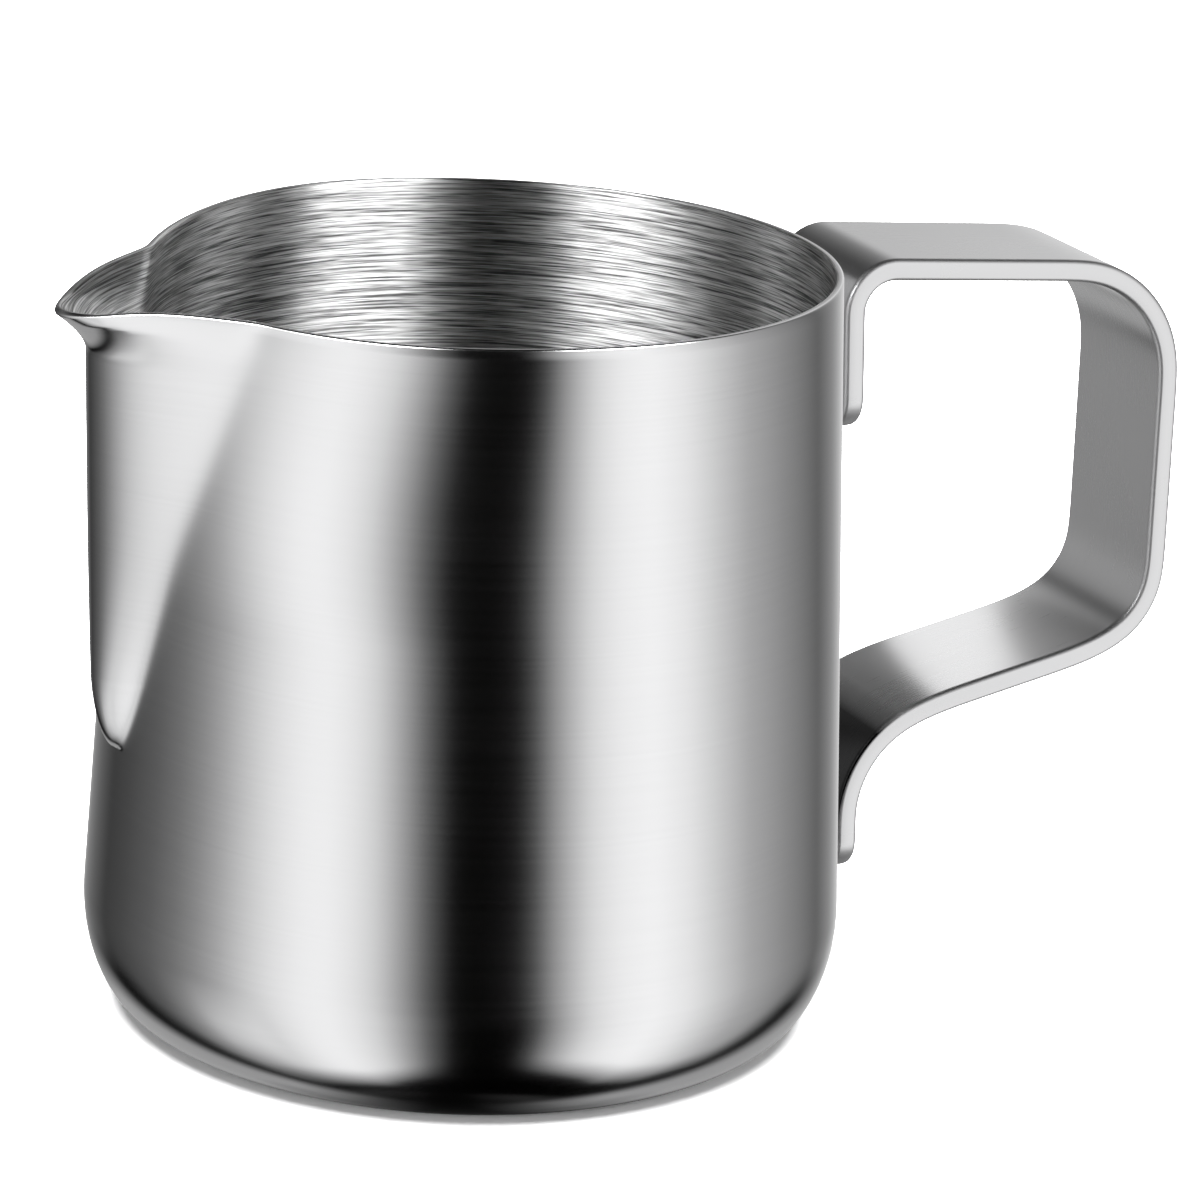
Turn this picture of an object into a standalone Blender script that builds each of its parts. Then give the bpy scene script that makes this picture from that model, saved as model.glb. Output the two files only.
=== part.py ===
"""Milk frothing pitcher: a pressed stainless cup with a spout, and a bent strap handle spot-welded to its wall.

Metres, +Z up. The origin is the centre of the flat base, the spout points along -X and the handle along +X.
"""

import math

import bmesh
import bpy
from mathutils import Matrix, Vector

# Cup
HEIGHT = 0.0815
RIM_RADIUS = 0.0370
BASE_WALL_RADIUS = 0.0410  # the straight wall carried down to the base plane
SHEET = 0.0008
CORNER_WIDTH = 0.0074  # the rounded bottom corner is a quarter ellipse
CORNER_HEIGHT = 0.0130
AROUND = 60  # columns of faces around the cup
CROWDING = 0.6  # 0 spaces the columns evenly, towards 1 gathers them at the spout

# Spout
SPOUT_TIP = 0.0318  # height where the pressed spout starts on the wall
SPOUT_SPREAD = 0.235  # half width gained for each unit of height
SPOUT_TIP_ROUND = 0.054  # the larger, the rounder the outline at the tip
SPOUT_NOSE = 0.0082  # height over which the ridge leaves the wall
RIDGE_RADIUS_AT_TIP = 0.0421  # the ridge line, seen from the cup's axis
RIDGE_RADIUS_AT_LIP = 0.0434
RIDGE_ROUND = 0.0080
LIP_START = 0.0742  # height where the lip starts to turn outwards
LIP_HEIGHT = 0.0784
LIP_FLARE = 0.0035
LIP_FLARE_POWER = 1.6
LIP_ROUND = 0.0050
CREASE_ROUND = 0.0007
PRESS_REACH = math.radians(55)  # the press shapes the wall this far to each side
RIM_PULL = 0.0015  # pressing the spout draws the rim beside it inwards
RIM_PULL_START = 0.050
RIM_DIP_BESIDE = 0.0009  # and downwards
RIM_DIP_AT_LIP = 0.0022
RIM_DIP_START = 0.060

# Handle strap
STRAP_WIDTH = 0.0180
STRAP_THICKNESS = 0.0024
STRAP_EDGE_ROUND = 0.0003
FOOT_CORNER_ROUND = 0.0040
SEAT_GAP = 0.0003  # between pieces that touch
UPPER_FOOT_END = 0.0621
LOWER_FOOT_END = 0.0120
TOP_BAR_AT_WALL = 0.0801  # heights of the strap's middle surface
TOP_BAR_AT_GRIP = 0.0776
GRIP_TOP_X = 0.0776
GRIP_BOTTOM_X = 0.0781
ARM_AT_GRIP = 0.0367
ARM_AT_WALL = 0.0282
TOP_BEND = 0.0045
GRIP_TOP_BEND = 0.0130
GRIP_BOTTOM_BEND = 0.0100
LOWER_BEND = 0.0125
BEND_STEP = math.radians(11)

# Spot welds
WELD_RADIUS = 0.0020
WELD_DEPTH = 0.0010  # how far a weld reaches into the strap
WELD_OFFSET = 0.0038  # sideways from the strap's middle
UPPER_WELD_HEIGHT = 0.0685
LOWER_WELD_HEIGHT = 0.0156
WELD_SIDES = 24


def clamp(value):
    return max(0.0, min(1.0, value))


def smooth_step(value):
    value = clamp(value)
    return value * value * (3 - 2 * value)


def clear_scene():
    for obj in list(bpy.data.objects):
        bpy.data.objects.remove(obj, do_unlink=True)


def new_collection(name):
    collection = bpy.data.collections.new(name)
    bpy.context.scene.collection.children.link(collection)
    return collection


def steel(name, color, roughness):
    material = bpy.data.materials.new(name)
    material.use_nodes = True
    shader = material.node_tree.nodes["Principled BSDF"]
    shader.inputs["Base Color"].default_value = (*color, 1)
    shader.inputs["Metallic"].default_value = 1.0
    shader.inputs["Roughness"].default_value = roughness
    return material


def add_object(name, data, collection, material=None):
    obj = bpy.data.objects.new(name, data)
    collection.objects.link(obj)
    if material:
        data.materials.append(material)
    return obj


def as_mesh(obj, collection):
    """Swaps an object for a mesh object of the same name, shape and place."""
    bpy.context.view_layer.update()
    mesh = bpy.data.meshes.new_from_object(obj.evaluated_get(bpy.context.evaluated_depsgraph_get()))
    name, place = obj.name, obj.matrix_world.copy()
    bpy.data.objects.remove(obj, do_unlink=True)
    mesh.transform(place)
    return add_object(name, mesh, collection)


def shade_round(obj):
    obj.data.shade_smooth()
    obj.data.set_sharp_from_angle(angle=math.radians(35))


# ---------------------------------------------------------------- cup


def wall_radius(height):
    return BASE_WALL_RADIUS + (RIM_RADIUS - BASE_WALL_RADIUS) * height / HEIGHT


def cup_profile():
    """Outer side of the cup as (radius, height), from the rim down the wall and in to the axis."""
    spans = (
        (HEIGHT, LIP_START, 5),
        (LIP_START, SPOUT_TIP + SPOUT_NOSE, 8),
        (SPOUT_TIP + SPOUT_NOSE, SPOUT_TIP, 6),
        (SPOUT_TIP, CORNER_HEIGHT, 3),
    )
    points = []
    for top, bottom, rows in spans:
        for row in range(rows):
            height = top + (bottom - top) * row / rows
            points.append((wall_radius(height), height))
    corner_rows = 7
    for row in range(corner_rows + 1):
        angle = math.pi / 2 * row / corner_rows
        inset = CORNER_WIDTH * (1 - math.cos(angle))
        height = CORNER_HEIGHT * (1 - math.sin(angle))
        points.append((wall_radius(height) - inset, height))
    points.append((0.0, 0.0))
    return points


def turned_cup(collection):
    """The cup before its spout is pressed, as an open surface."""
    points = cup_profile()
    mesh = bpy.data.meshes.new("pitcher_body")
    edges = [(i, i + 1) for i in range(len(points) - 1)]
    mesh.from_pydata([(radius, 0, height) for radius, height in points], edges, [])
    cup = add_object("pitcher_body", mesh, collection)
    screw = cup.modifiers.new("turn", "SCREW")
    screw.steps = AROUND
    screw.render_steps = AROUND
    screw.use_merge_vertices = True
    screw.merge_threshold = 0.00001
    return as_mesh(cup, collection)


def spout_half_width(height):
    above = max(0.0, height - SPOUT_TIP)
    return SPOUT_SPREAD * math.sqrt(above * (above + SPOUT_TIP_ROUND))


def ridge_radius(height):
    """How far the spout's middle line stands from the cup's axis."""
    up_the_ridge = (height - SPOUT_TIP) / (LIP_START - SPOUT_TIP)
    line = RIDGE_RADIUS_AT_TIP + (RIDGE_RADIUS_AT_LIP - RIDGE_RADIUS_AT_TIP) * up_the_ridge
    nose = clamp((height - SPOUT_TIP) / SPOUT_NOSE)
    bulge = (line - wall_radius(height)) * math.sqrt(1 - (1 - nose) ** 2)
    flare = clamp((height - LIP_START) / (LIP_HEIGHT - LIP_START)) ** LIP_FLARE_POWER
    return wall_radius(height) + bulge + LIP_FLARE * flare


def rim_pull(height):
    return RIM_PULL * smooth_step((height - RIM_PULL_START) / (HEIGHT - RIM_PULL_START))


def beside_spout(angle):
    """1 at the spout, falling smoothly to 0 a quarter turn away from it."""
    spout_angle = math.asin(spout_half_width(HEIGHT) / RIM_RADIUS)
    away = clamp((abs(angle) - spout_angle) / (math.pi / 2 - spout_angle))
    return math.cos(away * math.pi / 2) ** 2


def spout_section(side, height):
    """Distance of the spout's surface from the cup's axis plane, at this distance to the side of its middle."""
    half_width = spout_half_width(height)
    pulled = wall_radius(height) - rim_pull(height)
    edge = math.sqrt(pulled**2 - half_width**2)
    lip = clamp((height - LIP_START) / (LIP_HEIGHT - LIP_START))
    round_size = RIDGE_ROUND + (LIP_ROUND - RIDGE_ROUND) * lip
    fall = (math.hypot(side, round_size) - round_size) / (math.hypot(half_width, round_size) - round_size)
    ridge = ridge_radius(height)
    return ridge - (ridge - edge) * fall


def pressed(point):
    """Where a point of the turned wall goes when the spout is pressed. The spout is at -X."""
    angle = math.atan2(point.y, -point.x)
    angle -= CROWDING * math.sin(angle)
    radius = math.hypot(point.x, point.y)
    height = point.z
    beside = beside_spout(angle)
    to_side = abs(radius * math.sin(angle)) / spout_half_width(HEIGHT)
    at_lip = (1 - clamp(to_side) ** 2) ** 5 if math.cos(angle) > 0 else 0.0
    lowered = clamp((height - RIM_DIP_START) / (HEIGHT - RIM_DIP_START)) ** 2
    height -= (RIM_DIP_BESIDE * beside + RIM_DIP_AT_LIP * at_lip) * lowered
    radius -= rim_pull(height) * beside
    forward, side = radius * math.cos(angle), radius * math.sin(angle)
    if height > SPOUT_TIP and abs(angle) < PRESS_REACH:
        section = spout_section(side, height)
        blend = math.hypot(forward - section, CREASE_ROUND)
        raised = (section - forward + blend) / 2
        forward += raised * smooth_step(2 - 2 * abs(angle) / PRESS_REACH)
    return Vector((-forward, side, height))


def make_body(collection, material):
    cup = turned_cup(collection)
    for vertex in cup.data.vertices:
        vertex.co = pressed(vertex.co)
    cup.data.materials.append(material)
    shade_round(cup)
    shell = cup.modifiers.new("sheet", "SOLIDIFY")
    shell.thickness = SHEET
    shell.offset = -1
    shell.use_even_offset = True
    return cup


# ---------------------------------------------------------------- handle strap


def foot_x(height):
    """Where the middle surface of a foot stands, on the wall at this height."""
    return wall_radius(height) + SEAT_GAP + STRAP_THICKNESS / 2


def bend_points(before, corner, after, radius):
    """Points on the arc of this radius that rounds a corner of the path."""
    into = (before - corner).normalized()
    out = (after - corner).normalized()
    half_angle = into.angle(out) / 2
    reach = radius / math.tan(half_angle)
    centre = corner + (into + out).normalized() * (radius / math.sin(half_angle))
    start = corner + into * reach - centre
    end = corner + out * reach - centre
    turn = math.copysign(math.pi - 2 * half_angle, start.cross(end))
    steps = math.ceil(abs(turn) / BEND_STEP)
    return [centre + Matrix.Rotation(turn * i / steps, 2) @ start for i in range(steps + 1)]


def foot_points(end, inward):
    """Points up a foot from its end, close enough together to round its corners."""
    steps = 4
    along = (inward - end).normalized()
    return [
        end + along * FOOT_CORNER_ROUND * (1 - math.cos(math.pi / 2 * i / steps))
        for i in range(steps + 1)
    ]


def strap_path():
    """The strap's middle line in the X, Z plane, from its upper foot to its lower one."""
    corners = [
        Vector((foot_x(UPPER_FOOT_END), UPPER_FOOT_END)),
        Vector((foot_x(TOP_BAR_AT_WALL), TOP_BAR_AT_WALL)),
        Vector((GRIP_TOP_X, TOP_BAR_AT_GRIP)),
        Vector((GRIP_BOTTOM_X, ARM_AT_GRIP)),
        Vector((foot_x(ARM_AT_WALL), ARM_AT_WALL)),
        Vector((foot_x(LOWER_FOOT_END), LOWER_FOOT_END)),
    ]
    radii = (TOP_BEND, GRIP_TOP_BEND, GRIP_BOTTOM_BEND, LOWER_BEND)
    points = foot_points(corners[0], corners[1])
    for i, radius in enumerate(radii, start=1):
        points += bend_points(corners[i - 1], corners[i], corners[i + 1], radius)
    return points + foot_points(corners[-1], corners[-2])[::-1]


def round_foot_corners(mesh, ends):
    """Narrows the ribbon towards its two ends, so that each foot has round corners."""
    for vertex in mesh.vertices:
        place = Vector((vertex.co.x, vertex.co.z))
        from_end = min((place - end).length for end in ends)
        if from_end < FOOT_CORNER_ROUND:
            across = math.sqrt(FOOT_CORNER_ROUND**2 - (FOOT_CORNER_ROUND - from_end) ** 2)
            half_width = STRAP_WIDTH / 2 - FOOT_CORNER_ROUND + across
            vertex.co.y = math.copysign(half_width, vertex.co.y)


def make_strap(collection, material):
    path = strap_path()
    curve = bpy.data.curves.new("handle_strap", "CURVE")
    curve.dimensions = "2D"
    curve.fill_mode = "NONE"
    curve.extrude = STRAP_WIDTH / 2
    spline = curve.splines.new("POLY")
    spline.points.add(len(path) - 1)
    for point, place in zip(spline.points, path):
        point.co = (place.x, place.y, 0, 1)
    ribbon = add_object("handle_strap", curve, collection)
    ribbon.rotation_euler.x = math.pi / 2
    strap = as_mesh(ribbon, collection)
    round_foot_corners(strap.data, (path[0], path[-1]))
    strap.data.materials.append(material)
    shade_round(strap)
    body = strap.modifiers.new("thickness", "SOLIDIFY")
    body.thickness = STRAP_THICKNESS
    body.offset = 0
    body.use_even_offset = True
    edges = strap.modifiers.new("rounded edges", "BEVEL")
    edges.width = STRAP_EDGE_ROUND
    edges.segments = 2
    edges.limit_method = "ANGLE"
    edges.angle_limit = math.radians(60)
    return strap


# ---------------------------------------------------------------- spot welds


def round_bar(name, collection, radius, start, end):
    """A cylinder along X between two points."""
    mesh = bpy.data.meshes.new(name)
    shape = bmesh.new()
    bmesh.ops.create_cone(
        shape, cap_ends=True, segments=WELD_SIDES, radius1=radius, radius2=radius, depth=end.x - start.x
    )
    bmesh.ops.rotate(shape, verts=shape.verts, matrix=Matrix.Rotation(math.pi / 2, 3, "Y"))
    shape.to_mesh(mesh)
    shape.free()
    bar = add_object(name, mesh, collection)
    bar.location = (start + end) / 2
    return bar


def wall_cutter(collection):
    """The cup's outer wall with the seat gap added, to shape the welds' wall side."""
    mesh = bpy.data.meshes.new("wall_clearance")
    shape = bmesh.new()
    bmesh.ops.create_cone(
        shape,
        cap_ends=True,
        segments=AROUND * 4,
        radius1=BASE_WALL_RADIUS + SEAT_GAP,
        radius2=RIM_RADIUS + SEAT_GAP,
        depth=HEIGHT,
    )
    shape.to_mesh(mesh)
    shape.free()
    cutter = add_object("wall_clearance", mesh, collection)
    cutter.location.z = HEIGHT / 2
    return cutter


def as_cutter(obj):
    obj.hide_render = True
    obj.display_type = "WIRE"


def cut(target, cutter):
    boolean = target.modifiers.new("cut " + cutter.name, "BOOLEAN")
    boolean.operation = "DIFFERENCE"
    boolean.object = cutter


def make_welds(collection, cutters, strap, material):
    clearance = wall_cutter(cutters)
    as_cutter(clearance)
    for level, height in (("upper", UPPER_WELD_HEIGHT), ("lower", LOWER_WELD_HEIGHT)):
        for side_name, side in (("front", -WELD_OFFSET), ("back", WELD_OFFSET)):
            name = f"{level}_{side_name}_spot_weld"
            strap_face = wall_radius(height) + SEAT_GAP
            start = Vector((strap_face - WELD_RADIUS, side, height))
            end = Vector((strap_face + WELD_DEPTH, side, height))
            weld = round_bar(name, collection, WELD_RADIUS, start, end)
            weld.data.materials.append(material)
            shade_round(weld)
            cut(weld, clearance)
            room = Vector((SEAT_GAP, 0, 0))
            pocket = round_bar(name + "_pocket", cutters, WELD_RADIUS + SEAT_GAP, start, end + room)
            as_cutter(pocket)
            cut(strap, pocket)


def main():
    clear_scene()
    parts = new_collection("milk_frothing_pitcher")
    cutters = new_collection("cutters")
    make_body(parts, steel("satin_steel", (0.60, 0.60, 0.61), 0.22))
    strap = make_strap(parts, steel("polished_strap_steel", (0.66, 0.66, 0.67), 0.16))
    make_welds(parts, cutters, strap, steel("weld_steel", (0.42, 0.40, 0.38), 0.45))


main()
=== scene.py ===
"""Looks of the milk frothing pitcher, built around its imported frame.

It makes fine meshes, steel finishes, light and a camera. Metres, +Z up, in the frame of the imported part:
the spout points along -X and the handle along +X.
"""

import math

import bmesh
import bpy
from mathutils import Matrix, Vector


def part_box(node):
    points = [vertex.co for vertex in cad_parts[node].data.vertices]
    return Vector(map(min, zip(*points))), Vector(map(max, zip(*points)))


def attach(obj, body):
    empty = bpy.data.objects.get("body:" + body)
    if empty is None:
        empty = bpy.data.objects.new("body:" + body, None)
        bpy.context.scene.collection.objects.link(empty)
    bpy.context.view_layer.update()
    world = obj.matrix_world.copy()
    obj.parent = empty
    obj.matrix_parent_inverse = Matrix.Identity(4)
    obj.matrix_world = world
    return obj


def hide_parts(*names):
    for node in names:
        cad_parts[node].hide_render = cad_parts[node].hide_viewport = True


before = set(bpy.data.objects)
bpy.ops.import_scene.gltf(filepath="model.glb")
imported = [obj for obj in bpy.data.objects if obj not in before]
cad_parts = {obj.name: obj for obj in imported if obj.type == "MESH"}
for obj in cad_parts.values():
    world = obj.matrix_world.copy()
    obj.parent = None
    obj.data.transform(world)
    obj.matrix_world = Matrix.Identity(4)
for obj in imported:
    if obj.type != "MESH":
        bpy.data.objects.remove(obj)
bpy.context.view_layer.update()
_, BODY_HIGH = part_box("pitcher_body")
STRAP_LOW, STRAP_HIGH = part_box("handle_strap")

# Cup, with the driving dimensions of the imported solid
HEIGHT = BODY_HIGH.z
RIM_RADIUS = 0.0370
BASE_WALL_RADIUS = 0.0410
SHEET = 0.0008
CORNER_WIDTH = 0.0074
CORNER_HEIGHT = 0.0130
RIM_EDGE_ROUND = 0.00024

# Spout
SPOUT_TIP = 0.0318
SPOUT_SPREAD = 0.235
SPOUT_TIP_ROUND = 0.054
SPOUT_NOSE = 0.0082
RIDGE_RADIUS_AT_TIP = 0.0421
RIDGE_RADIUS_AT_LIP = 0.0434
RIDGE_ROUND = 0.0080
LIP_START = 0.0742
LIP_HEIGHT = 0.0784
LIP_FLARE = 0.0035
LIP_FLARE_POWER = 1.6
LIP_ROUND = 0.0050
CREASE_ROUND = 0.0007
PRESS_REACH = math.radians(55)
RIM_PULL = 0.0015
RIM_PULL_START = 0.050
RIM_DIP_BESIDE = 0.0009
RIM_DIP_AT_LIP = 0.0022
RIM_DIP_START = 0.060
RIM_DIP_POWER = 5

# Handle strap
STRAP_WIDTH = STRAP_HIGH.y - STRAP_LOW.y
STRAP_THICKNESS = 0.0024
STRAP_EDGE_ROUND = 0.0005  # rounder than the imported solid's
FOOT_CORNER_ROUND = 0.0040
SEAT_GAP = 0.0003
UPPER_FOOT_END = 0.0621
LOWER_FOOT_END = 0.0120
TOP_BAR_AT_WALL = 0.0801
TOP_BAR_AT_GRIP = 0.0776
GRIP_TOP_X = 0.0776
GRIP_BOTTOM_X = 0.0781
ARM_AT_GRIP = 0.0367
ARM_AT_WALL = 0.0282
TOP_BEND = 0.0045
GRIP_TOP_BEND = 0.0130
GRIP_BOTTOM_BEND = 0.0100
LOWER_BEND = 0.0125

# Lengths over which the strap's bends tighten and straighten out: at the top bar's wall end, at the grip,
# along the arm, which is nowhere quite straight, and at the lower foot
SHORT_EASE = 0.0010
GRIP_EASE = 0.0060
ARM_EASE = 0.0130
FOOT_EASE = 0.0040

# Spot welds: how far each nugget sinks into the wall and the strap, and how slim its waist is
WELD_RADIUS = 0.0020
WELD_IN_WALL = 0.0002
WELD_IN_STRAP = 0.00015
WELD_WAIST = 0.86

# Fineness of the meshes
AROUND = 288
CROWDING = 0.6  # gathers the columns of faces at the spout
RIM_ROWS, RIDGE_ROWS, NOSE_ROWS, LOWER_WALL_ROWS = 14, 44, 30, 8
BELOW_RIM = 0.0012  # from the rim to the second row of points
BELOW_SPOUT = 0.0010  # how far the close rows go on below the spout's tip
CORNER_ROWS = 26
BASE_RINGS = 10
RIM_ARC_STEPS = 4
STRAIGHT_STEP = 0.0020
EDGE_ARC_STEPS = 5
FOOT_ARC_STEPS = 10
BEND_POINT_SPACING = 0.0004
BEND_SEARCH_STEPS = 24
LEAST_STATION_STEP = 0.0001
EDGE_SUPPORT = 1.4  # a row of points this many edge radii in from the edge keeps the faces beside it flat
WELD_SIDES = 48
WELD_STEPS = 12

# Camera: where it looks, from how far, and how it is turned
CAMERA_TARGET = Vector((0.01261, -0.00463, 0.04462))
CAMERA_DISTANCE = 0.5722
CAMERA_AZIMUTH = math.radians(-25.25)
CAMERA_ELEVATION = math.radians(17.25)
CAMERA_ROLL = 0.0493
CAMERA_LENS = 162.15
SENSOR_WIDTH = 36.0

FLOOR_SIZE = 6.0

# Materials of the cup's mesh
OUTSIDE, INSIDE = 0, 1


def clamp(value):
    return max(0.0, min(1.0, value))


def smooth_step(value):
    value = clamp(value)
    return value * value * (3 - 2 * value)


def new_piece(name, vertices, faces):
    """A mesh object with its faces turned outwards."""
    mesh = bpy.data.meshes.new(name)
    mesh.from_pydata(vertices, [], faces)
    shape = bmesh.new()
    shape.from_mesh(mesh)
    bmesh.ops.recalc_face_normals(shape, faces=shape.faces)
    shape.to_mesh(mesh)
    shape.free()
    mesh.shade_smooth()
    piece = bpy.data.objects.new(name, mesh)
    bpy.context.scene.collection.objects.link(piece)
    return piece


def stand_for(piece, node):
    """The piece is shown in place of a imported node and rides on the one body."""
    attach(piece, "root")
    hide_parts(node)


# ---------------------------------------------------------------- cup mesh


def wall_radius(height):
    return BASE_WALL_RADIUS + (RIM_RADIUS - BASE_WALL_RADIUS) * height / HEIGHT


def cup_profile():
    """Outer side of the cup as (radius, height), from the rim down the wall and in along the base."""
    spans = (
        (HEIGHT - BELOW_RIM, LIP_START, RIM_ROWS),
        (LIP_START, SPOUT_TIP + SPOUT_NOSE, RIDGE_ROWS),
        (SPOUT_TIP + SPOUT_NOSE, SPOUT_TIP - BELOW_SPOUT, NOSE_ROWS),
        (SPOUT_TIP - BELOW_SPOUT, CORNER_HEIGHT, LOWER_WALL_ROWS),
    )
    points = [(wall_radius(HEIGHT), HEIGHT)]
    for top, bottom, rows in spans:
        for row in range(rows):
            height = top + (bottom - top) * row / rows
            points.append((wall_radius(height), height))
    for row in range(CORNER_ROWS + 1):
        angle = math.pi / 2 * row / CORNER_ROWS
        inset = CORNER_WIDTH * (1 - math.cos(angle))
        height = CORNER_HEIGHT * (1 - math.sin(angle))
        points.append((wall_radius(height) - inset, height))
    base_radius = points[-1][0]
    for ring in range(1, BASE_RINGS):
        points.append((base_radius * (1 - ring / BASE_RINGS), 0.0))
    return points


def spout_half_width(height):
    above = max(0.0, height - SPOUT_TIP)
    return SPOUT_SPREAD * math.sqrt(above * (above + SPOUT_TIP_ROUND))


def ridge_radius(height):
    """How far the spout's middle line stands from the cup's axis."""
    up_the_ridge = (height - SPOUT_TIP) / (LIP_START - SPOUT_TIP)
    line = RIDGE_RADIUS_AT_TIP + (RIDGE_RADIUS_AT_LIP - RIDGE_RADIUS_AT_TIP) * up_the_ridge
    nose = clamp((height - SPOUT_TIP) / SPOUT_NOSE)
    bulge = (line - wall_radius(height)) * math.sqrt(1 - (1 - nose) ** 2)
    flare = clamp((height - LIP_START) / (LIP_HEIGHT - LIP_START)) ** LIP_FLARE_POWER
    return wall_radius(height) + bulge + LIP_FLARE * flare


def rim_pull(height):
    return RIM_PULL * smooth_step((height - RIM_PULL_START) / (HEIGHT - RIM_PULL_START))


def beside_spout(angle):
    """1 at the spout, falling smoothly to 0 a quarter turn away from it."""
    spout_angle = math.asin(spout_half_width(HEIGHT) / RIM_RADIUS)
    away = clamp((abs(angle) - spout_angle) / (math.pi / 2 - spout_angle))
    return math.cos(away * math.pi / 2) ** 2


def spout_section(side, height):
    """How far forward of the cup's axis the spout's surface is, this far to the side of its middle."""
    half_width = spout_half_width(height)
    pulled = wall_radius(height) - rim_pull(height)
    edge = math.sqrt(pulled**2 - half_width**2)
    lip = clamp((height - LIP_START) / (LIP_HEIGHT - LIP_START))
    round_size = RIDGE_ROUND + (LIP_ROUND - RIDGE_ROUND) * lip
    full_fall = math.hypot(half_width, round_size) - round_size
    fall = (math.hypot(side, round_size) - round_size) / full_fall
    ridge = ridge_radius(height)
    return ridge - (ridge - edge) * fall


def pressed(radius, angle, height):
    """Where a point of the turned wall goes when the spout is pressed. Its angle counts from the spout."""
    beside = beside_spout(angle)
    to_side = abs(radius * math.sin(angle)) / spout_half_width(HEIGHT)
    at_lip = (1 - clamp(to_side) ** 2) ** RIM_DIP_POWER if math.cos(angle) > 0 else 0.0
    lowered = clamp((height - RIM_DIP_START) / (HEIGHT - RIM_DIP_START)) ** 2
    height -= (RIM_DIP_BESIDE * beside + RIM_DIP_AT_LIP * at_lip) * lowered
    radius -= rim_pull(height) * beside
    forward, side = radius * math.cos(angle), radius * math.sin(angle)
    if height > SPOUT_TIP and abs(angle) < PRESS_REACH:
        section = spout_section(side, height)
        blend = math.hypot(forward - section, CREASE_ROUND)
        raised = (section - forward + blend) / 2
        forward += raised * smooth_step(2 - 2 * abs(angle) / PRESS_REACH)
    return Vector((-forward, side, height))


def column_angles():
    """Angles from the spout of the columns of faces, gathered at the spout."""
    even = [-math.pi + 2 * math.pi * column / AROUND for column in range(AROUND)]
    return [angle - CROWDING * math.sin(angle) for angle in even]


def grid_normals(grid):
    """Outward unit normals of a closed-round grid of points, rows down the profile and columns around."""
    rows = len(grid)
    normals = []
    for i in range(rows):
        above, below = grid[max(i - 1, 0)], grid[min(i + 1, rows - 1)]
        row = []
        for j in range(AROUND):
            down = below[j] - above[j]
            around = grid[i][(j + 1) % AROUND] - grid[i][j - 1]
            row.append(around.cross(down).normalized())
        normals.append(row)
    return normals


def rim_rows(grid, normals):
    """Rows of points over the sheet's cut edge, from outside to inside, with both its edges rounded."""
    rows = []
    for inner in (False, True):
        for step in range(RIM_ARC_STEPS + 1):
            turn = math.pi / 2 * step / RIM_ARC_STEPS
            rise = math.cos(turn) if inner else math.sin(turn)
            out = -math.sin(turn) if inner else math.cos(turn)
            row = []
            for edge, next_down, normal in zip(grid[0], grid[1], normals[0]):
                up = (edge - next_down).normalized()
                depth = SHEET - RIM_EDGE_ROUND if inner else RIM_EDGE_ROUND
                centre = edge - normal * depth - up * RIM_EDGE_ROUND
                row.append(centre + (normal * out + up * rise) * RIM_EDGE_ROUND)
            rows.append(row)
    return rows


def make_body():
    """The cup as one closed sheet: from the base's middle up the outside, over the rim and down inside."""
    angles = column_angles()
    outer = [[pressed(radius, angle, height) for angle in angles] for radius, height in cup_profile()]
    normals = grid_normals(outer)
    rim = rim_rows(outer, normals)
    inner = [
        [point - normal * SHEET for point, normal in zip(row, row_normals)]
        for row, row_normals in zip(outer, normals)
    ]
    rows = outer[:0:-1] + rim + inner[1:]
    outside_rows = len(outer) - 1 + len(rim) // 2
    vertices = [point for row in rows for point in row]
    faces, sides = [], []
    for i in range(len(rows) - 1):
        first, second = i * AROUND, (i + 1) * AROUND
        for j in range(AROUND):
            after = (j + 1) % AROUND
            faces.append((first + j, first + after, second + after, second + j))
            sides.append(INSIDE if i >= outside_rows else OUTSIDE)
    last = (len(rows) - 1) * AROUND
    bottom_middle, inside_middle = len(vertices), len(vertices) + 1
    vertices += [Vector((0, 0, 0)), Vector((0, 0, SHEET))]
    for j in range(AROUND):
        after = (j + 1) % AROUND
        faces.append((after, j, bottom_middle))
        faces.append((last + j, last + after, inside_middle))
        sides += [OUTSIDE, INSIDE]
    cup = new_piece("pitcher_cup", vertices, faces)
    mesh = cup.data
    uv_of_rows(mesh, rows)
    mesh.materials.append(satin_outside())
    mesh.materials.append(brushed_inside())
    for face, side in zip(mesh.polygons, sides):
        face.material_index = side
    stand_for(cup, "pitcher_body")
    return cup


def uv_of_rows(mesh, rows):
    """UV map of the cup: U runs around it, and V along its profile, up the outside and down the inside."""
    lengths = [0.0]
    for i in range(1, len(rows)):
        lengths.append(lengths[-1] + (rows[i][0] - rows[i - 1][0]).length)
    total = lengths[-1]
    layer = mesh.uv_layers.new(name="around_and_up")
    for face in mesh.polygons:
        columns = [index % AROUND for index in face.vertices if index < len(rows) * AROUND]
        wraps = max(columns) - min(columns) > AROUND / 2
        for loop in face.loop_indices:
            index = mesh.loops[loop].vertex_index
            if index >= len(rows) * AROUND:
                u = (min(columns) + 0.5) / AROUND
                v = 0.0 if index == len(rows) * AROUND else 1.0
            else:
                column = index % AROUND
                u = (column + AROUND if wraps and column < AROUND / 2 else column) / AROUND
                v = lengths[index // AROUND] / total
            layer.data[loop].uv = (u, v)


# ---------------------------------------------------------------- handle strap mesh


def foot_x(height):
    return wall_radius(height) + SEAT_GAP + STRAP_THICKNESS / 2


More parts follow.
